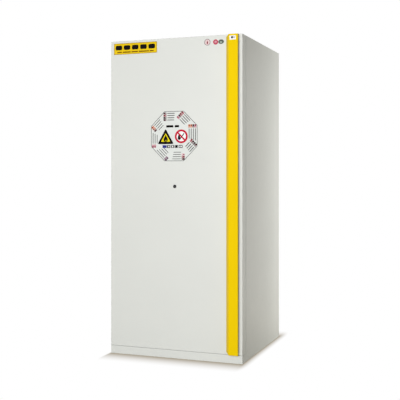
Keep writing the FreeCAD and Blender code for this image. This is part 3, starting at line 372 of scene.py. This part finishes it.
def dress_frame():
    """Gives every CAD node the material of its slot, and the name plate its yellow film."""
    for row in frame["record"]["subparts"]:
        node = frame["nodes"][row["node"]]
        node.data.materials.clear()
        node.data.materials.append(SLOT_MATERIALS[row["material_slot"]])
    frame["nodes"]["name_plate"].data.materials[0] = PLATE_FILM


# ---------------------------------------------------------------- outlines of the printed marks

def steps(count):
    """Equally spaced angles round a circle."""
    return [2 * math.pi * k / count for k in range(count)]


def turned(point, angle):
    """A point turned about the origin."""
    c, s = math.cos(angle), math.sin(angle)
    return (point[0] * c - point[1] * s, point[0] * s + point[1] * c)


def rounded(corners, radius, steps_per_corner=5):
    """A polygon's outline with each convex corner rounded by a curve between points near it."""
    outline = []
    count = len(corners)
    for k, corner in enumerate(corners):
        here = Vector(corner)
        before = (Vector(corners[k - 1]) - here).normalized() * radius
        after = (Vector(corners[(k + 1) % count]) - here).normalized() * radius
        for step in range(steps_per_corner + 1):
            t = step / steps_per_corner
            point = here + before * (1 - t) ** 2 + after * t ** 2
            outline.append((point.x, point.y))
    return outline


def rounded_bar(left, right, low, high, radius):
    """A level bar's outline with rounded corners."""
    return rounded([(left, low), (right, low), (right, high), (left, high)], radius)


def triangle(middle, half_width, foot, tip, radius):
    """The outline of an upright triangle with rounded corners."""
    return rounded([(middle - half_width, foot), (middle + half_width, foot), (middle, tip)], radius)


def slanted_bar(right, up, length, width, angle):
    """A bar's outline, centred on a point and turned by an angle from the horizontal."""
    a, b = length / 2, width / 2
    corners = [turned(c, angle) for c in ((-a, -b), (a, -b), (a, b), (-a, b))]
    return [(right + x, up + y) for x, y in corners]


def drop(right, up, width, height, points=24):
    """The outline of a plain drop: round below, pointed above."""
    outline = []
    for angle in steps(points):
        swing = math.sin(angle / 2) ** 2
        outline.append((right + width / 2 * math.sin(angle) * swing, up + height / 2 * math.cos(angle)))
    return outline


# ---------------------------------------------------------------- printed graphics

class Print:
    """A printed layer on a film: flat ink shapes, each a hair proud of the film, joined in one piece.

    Shapes are drawn in millimetres right of and above the film's middle, seen from the front."""

    INK = 0.06 * MM

    def __init__(self, low, high):
        """Starts a print on the front of the film between two corners."""
        self.face = low.y
        self.middle = (low + high) / 2
        self.half_width = (high.x - low.x) / 2 / MM
        self.half_height = (high.z - low.z) / 2 / MM
        self.points, self.faces, self.inks = [], [], []

    def polygon(self, outline, colour, layer=1):
        """One ink shape from its outline, raised by its layer."""
        first, count = len(self.points), len(outline)
        for y in (self.face - layer * self.INK, self.face):
            for right, up in outline:
                self.points.append((self.middle.x + right * MM, y, self.middle.z + up * MM))
        front = tuple(range(first, first + count))
        sides = [(first + k, first + (k + 1) % count, first + count + (k + 1) % count, first + count + k)
                 for k in range(count)]
        self.faces += [front] + sides
        self.inks += [colour] * (count + 1)

    def rectangle(self, left, low, width, height, colour, layer=1, turn=0.0):
        """A rectangle, turned about the film's middle."""
        corners = [(left, low), (left + width, low), (left + width, low + height), (left, low + height)]
        self.polygon([turned(c, turn) for c in corners], colour, layer)

    def disc(self, right, up, radius, colour, layer=1, squash=1.0, sides=40):
        """A round or squashed disc."""
        outline = [(right + radius * math.cos(a), up + squash * radius * math.sin(a))
                   for a in steps(sides)]
        self.polygon(outline, colour, layer)

    def ring(self, right, up, radius, width, colour, layer=1, sides=40, start=0.0):
        """A closed band drawn as short straight pieces."""
        angles = [a + start for a in steps(sides)]
        for a, b in zip(angles, angles[1:] + angles[:1]):
            quad = [(right + r * math.cos(t), up + r * math.sin(t))
                    for r, t in ((radius, a), (radius, b), (radius - width, b), (radius - width, a))]
            self.polygon(quad, colour, layer)

    def finish(self, name):
        """Makes the piece and lets it ride on the door."""
        mesh = bpy.data.meshes.new(name)
        mesh.from_pydata(self.points, [], self.faces)
        colours = sorted(set(self.inks))
        for colour in colours:
            mesh.materials.append(INK_MATERIALS[colour])
        for face, colour in zip(mesh.polygons, self.inks):
            face.material_index = colours.index(colour)
        piece = bpy.data.objects.new(name, mesh)
        bpy.context.scene.collection.objects.link(piece)
        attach(piece, "door")


# Rim groups of the octagonal film, clockwise from the top: the colours of the squares from the rim inwards,
# then the number of thin lines beside them, the length of the outer line, how much each next one is shorter,
# and their width, in millimetres.
RIM_GROUPS = [
    (("dark", "crimson", "black", "dark"), 4, 34, 1, 2.9),
    (("crimson", "crimson", "dark", "rose"), 4, 37, 2, 2.9),
    (("rose", "dark", "orange", "orange"), 4, 51, 3, 2.8),
    (("dark", "black", "dark", "crimson"), 4, 29, 1, 3.2),
    (("dark", "crimson", "pale_rose"), 4, 39, 2, 2.3),
    (("violet", "violet"), 4, 46, 6, 2.4),
    (("rose", "rose"), 3, 46, 4, 2.5),
    (("orange", "orange", "dark"), 4, 36, 2, 2.4),
]


def rim_group(p, turn, colours, lines, length, shorter, line_width):
    """One group at the film's rim: a column of squares with small marks, and thin lines beside it."""
    rim, pitch, gap = 5.0, 9.4, 1.6
    left, square_width, line_left, line_drop = -48.5, 13.5, -31.0, 5.5
    mark_inset, mark_drop, mark = 2.0, 5.8, 4.0
    dot_inset, dot_drop, dot_width, dot_height = 8.0, 5.4, 3.4, 2.8
    for row, colour in enumerate(colours):
        top = p.half_height - rim - row * pitch
        p.rectangle(left, top - pitch + gap, square_width, pitch - gap, colour, turn=turn)
        p.rectangle(left + mark_inset, top - mark_drop, mark, mark, "dark", layer=2, turn=turn)
        p.rectangle(left + dot_inset, top - dot_drop, dot_width, dot_height, "blush", layer=2, turn=turn)
    for row in range(lines):
        low = p.half_height - rim - line_drop - row * pitch
        p.rectangle(line_left, low, length - shorter * row, line_width, "black", turn=turn)


def octagon_frame(p):
    """A thin line along the film's eight edges."""
    sides, inset, width = 8, 0.3, 2.0
    corner_angle = math.pi / sides
    corner_r = (p.half_width - inset) / math.cos(corner_angle)
    p.ring(0, 0, corner_r, width, "black", sides=sides, start=corner_angle)


def word_bars(p):
    """Two rounded bars above the middle, in place of words."""
    low, high, radius = 37.0, 46.5, 3.0
    for left, right in ((-36.0, -3.0), (3.0, 23.0)):
        p.polygon(rounded_bar(left, right, low, high, radius), "black")


def drop_triangle(p):
    """A yellow triangle with a black border and a plain drop in it."""
    middle = -38.5
    p.polygon(triangle(middle, half_width=37.5, foot=-33.5, tip=32.0, radius=9.0), "black")
    p.polygon(triangle(middle, half_width=21.5, foot=-23.5, tip=13.0, radius=3.0), "yellow", layer=2)
    p.polygon(drop(middle, -8.0, width=30.0, height=31.0), "black", layer=3)
    p.polygon(drop(middle + 1.5, -17.5, width=6.0, height=8.0), "yellow", layer=4)


def barred_ring(p):
    """A red ring with a slanted bar, over a plain drop and a stick."""
    right, up, radius, band, disc_inset = 33.0, -1.5, 29.2, 8.2, 1.0
    stick_angle, bar_angle = math.radians(52), -math.pi / 4
    p.disc(right, up, radius - disc_inset, "white")
    p.polygon(drop(right - 10.0, up + 1.0, width=18.0, height=32.0), "black", layer=2)
    p.polygon(slanted_bar(right + 2.0, up - 1.0, length=34.0, width=4.0, angle=stick_angle), "black", layer=3)
    p.polygon(slanted_bar(right, up, length=47.0, width=6.6, angle=bar_angle), "red", layer=4)
    p.ring(right, up, radius, band, "red", layer=5)


def block_row(p):
    """Small blocks in a row below the middle, three of them with pale windows."""
    low, height = -50.0, 12.0
    window_low, window_width, window_height = -47.5, 4.5, 7.0
    for left, width, colour in ((-53.0, 19.0, "blue"), (-32.0, 15.0, "black"), (-14.0, 16.0, "grey"),
                                (5.0, 12.0, "black"), (21.0, 18.0, "black")):
        p.rectangle(left, low, width, height, colour)
    for left in (-26.0, -9.0, 25.0, 32.0):
        p.rectangle(left, window_low, window_width, window_height, "white", layer=2)


def hazard_print():
    """Abstract graphics on the octagonal film."""
    p = Print(*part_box("hazard_label"))
    octagon_frame(p)
    for index, group in enumerate(RIM_GROUPS):
        rim_group(p, -index * 2 * math.pi / len(RIM_GROUPS), *group)
    word_bars(p)
    drop_triangle(p)
    barred_ring(p)
    block_row(p)
    p.finish("hazard_print")


def plate_print():
    """A thin frame, plain bars in place of a name, and a row of dashes on the yellow plate."""
    p = Print(*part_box("name_plate"))
    inset, border = 0.4, 1.6
    side, top = p.half_width - inset, p.half_height - inset
    for low in (-top, top - border):
        p.rectangle(-side, low, 2 * side, border, "brown")
    for left in (-side, side - border):
        p.rectangle(left, border - top, border, 2 * (top - border), "brown")

    bars, margin, bar_width, bar_gap, bar_low, bar_high, radius = 5, 8.0, 31.0, 8.0, -5.0, 15.0, 7.0
    for k in range(bars):
        left = margin - p.half_width + k * (bar_width + bar_gap)
        p.polygon(rounded_bar(left, left + bar_width, bar_low, bar_high, radius), "black")

    dash_margin, dash_gap, dash_low, dash_height = 16.0, 4.0, -17.0, 5.0
    left = dash_margin - p.half_width
    for length in (22.0, 38.0, 30.0, 48.0, 18.0):
        p.rectangle(left, dash_low, length, dash_height, "brown")
        left += length + dash_gap
    p.finish("name_plate_print")


def front_patches(node):
    """The corners (low, high) of each separate flat front face of a CAD node, from left to right."""
    mesh = frame["nodes"][node].data
    patches = []
    for polygon in mesh.polygons:
        if polygon.normal.y > -FRONT_SHARE:
            continue
        corners = set(polygon.vertices)
        for patch in [other for other in patches if other & corners]:
            patches.remove(patch)
            corners |= patch
        patches.append(corners)
    boxes = []
    for patch in patches:
        axes = list(zip(*(mesh.vertices[k].co for k in patch)))
        boxes.append((Vector([min(axis) for axis in axes]), Vector([max(axis) for axis in axes])))
    return sorted(boxes, key=lambda box: box[0].x)


def ring_label(p):
    """A ring with a drop in it."""
    radius, band, gap = 13.4, 1.7, 0.1
    p.ring(0, 0, radius, band, "dark")
    p.disc(0, 0, radius - band - gap, "blush")
    p.polygon(drop(0, 0.5, width=9.0, height=15.0), "crimson", layer=2)
    p.disc(0, -3.0, radius=2.2, colour="dark", layer=3, sides=20)


def disc_label(p):
    """A filled disc with a red rim, a pale middle and a small drop."""
    radius = 10.9
    p.disc(0, 0, radius, "rose")
    p.ring(0, 0, radius, width=2.4, colour="red", layer=2)
    p.disc(0, 0.5, radius=4.6, colour="pale_rose", layer=2, sides=24)
    p.polygon(drop(0, 0.5, width=3.6, height=6.5), "red", layer=3)


def oval_label(p):
    """A green-grey oval with a paler disc and a bar."""
    p.disc(0, 0, radius=12.4, colour="green_grey", squash=0.76)
    p.disc(-0.5, -1.0, radius=5.4, colour="pale_green", layer=2, squash=0.9, sides=28)
    p.rectangle(-9.0, 1.6, width=18.0, height=2.0, colour="grey", layer=3)


def handle_label(p):
    """A white sticker with a black spot and a grey block."""
    margin_x, margin_z = 0.75, 0.5
    half_width, half_height = p.half_width - margin_x, p.half_height - margin_z
    p.rectangle(-half_width, -half_height, 2 * half_width, 2 * half_height, "white")
    p.disc(-2.5, 1.0, radius=4.6, colour="black", layer=2, squash=1.1, sides=20)
    p.rectangle(3.5, -1.0, width=4.5, height=5.0, colour="grey", layer=2)


def label_prints():
    """Plain marks on the small stickers, each about its own sticker's middle."""
    drawings = (("ring_label_print", ring_label), ("disc_label_print", disc_label),
                ("oval_label_print", oval_label), ("handle_label_print", handle_label))
    for (name, draw), corners in zip(drawings, front_patches("small_labels")):
        p = Print(*corners)
        draw(p)
        p.finish(name)


# ---------------------------------------------------------------- studio

def area_light(name, place, aim, size, power, colour=WHITE):
    """A soft rectangular light aimed at a point."""
    data = bpy.data.lights.new(name, "AREA")
    data.shape = "RECTANGLE"
    data.size, data.size_y = size
    data.energy, data.color = power, colour
    light = bpy.data.objects.new(name, data)
    light.location = place
    light.visible_camera = False
    light.rotation_euler = (Vector(aim) - Vector(place)).to_track_quat("-Z", "Y").to_euler()
    bpy.context.scene.collection.objects.link(light)


def studio_lights():
    """A wide front light, a tall narrow one behind the right side, and a soft one overhead."""
    top = cad_box[1].z
    area_light("front_light", place=(0.34, -4.6, 0.88 * top), aim=(0, -0.3, 0.6 * top),
               size=(2.6, 1.6), power=185, colour=COOL_WHITE)
    area_light("rear_side_light", place=(1.05, 0.85, 0.38 * top), aim=(0.3, 0.9, 0.38 * top),
               size=(0.3, 2.0), power=20.2)
    area_light("top_light", place=(-0.1, 0.2, 2.4 * top), aim=(-0.1, 0.2, 0), size=(1.0, 1.0), power=20)


def camera_sees(tree, seen, lit, output):
    """Shows one shader to the camera and another to every other ray."""
    blend = tree.nodes.new("ShaderNodeMixShader")
    path = tree.nodes.new("ShaderNodeLightPath")
    for source, socket in zip((path.outputs["Is Camera Ray"], lit, seen), blend.inputs):
        tree.links.new(source, socket)
    tree.links.new(blend.outputs["Shader"], output.inputs["Surface"])


def studio_world():
    """A surround that looks white and lights the object with a softer, slightly warm light."""
    world = bpy.data.worlds.new("studio")
    world.use_nodes = True
    bpy.context.scene.world = world
    tree = world.node_tree
    lit = tree.nodes["Background"]
    seen = tree.nodes.new("ShaderNodeBackground")
    for node, colour, strength in ((lit, AMBIENT_TINT, AMBIENT), (seen, WHITE, 1.0)):
        node.inputs["Color"].default_value = (*colour, 1.0)
        node.inputs["Strength"].default_value = strength
    camera_sees(tree, seen.outputs["Background"], lit.outputs["Background"], tree.nodes["World Output"])


def footprint_distance(s):
    """0 at the edge of the closed object's footprint, rising to 1 where its contact shadow ends."""
    low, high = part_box("plinth_cover")[0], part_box("back_panel")[1]
    split = s.add("ShaderNodeSeparateXYZ", Vector=s.place)
    squares = []
    for axis, start, end in (("X", low.x, -low.x), ("Y", low.y, high.y)):
        reach_low, reach_high = CONTACT_SHADOW_REACH[axis]
        before = s.compute("DIVIDE", s.compute("SUBTRACT", start, split.outputs[axis]), reach_low)
        beyond = s.compute("DIVIDE", s.compute("SUBTRACT", split.outputs[axis], end), reach_high)
        share = s.compute("MAXIMUM", s.compute("MAXIMUM", before, beyond), 0.0)
        squares.append(s.compute("POWER", share, 2.0))
    distance = s.compute("SQRT", s.compute("ADD", *squares))
    left = s.compute("SUBTRACT", 1.0, s.compute("MINIMUM", distance, 1.0))
    return s.compute("SUBTRACT", 1.0, s.compute("POWER", left, CONTACT_SHADOW_FALL))


def studio_floor():
    """A pale floor that the camera sees as white, darker only close to the closed object's foot."""
    mesh = bpy.data.meshes.new("floor")
    corners = [(x * FLOOR_REACH, y * FLOOR_REACH, 0) for x, y in ((-1, -1), (1, -1), (1, 1), (-1, 1))]
    mesh.from_pydata(corners, [], [(0, 1, 2, 3)])
    floor = bpy.data.objects.new("floor", mesh)
    bpy.context.scene.collection.objects.link(floor)
    s = Shader("floor", roughness=0.9)
    s.gloss(0.0)
    s.set("Base Color", s.toned(FLOOR_BOUNCE, amount=0.02, scale=3.0))
    shade = s.mixed(footprint_distance(s), CONTACT_SHADOW, WHITE)
    seen = s.add("ShaderNodeEmission", Color=shade, Strength=1.0)
    camera_sees(s.tree, seen.outputs["Emission"], s.surface.outputs["BSDF"], s.tree.nodes["Material Output"])
    mesh.materials.append(s.material)


def studio_camera():
    """The camera that sees the object as in its catalogue view."""
    data = bpy.data.cameras.new("camera")
    data.lens, data.shift_y = CAMERA_LENS, CAMERA_SHIFT
    camera = bpy.data.objects.new("camera", data)
    camera.location = CAMERA_PLACE
    camera.rotation_euler = (math.pi / 2, 0.0, CAMERA_TURN)
    bpy.context.scene.collection.objects.link(camera)
    bpy.context.scene.camera = camera


dress_frame()
hazard_print()
plate_print()
label_prints()
studio_world()
studio_floor()
studio_lights()
studio_camera()
bpy.context.scene.view_settings.view_transform = "Standard"
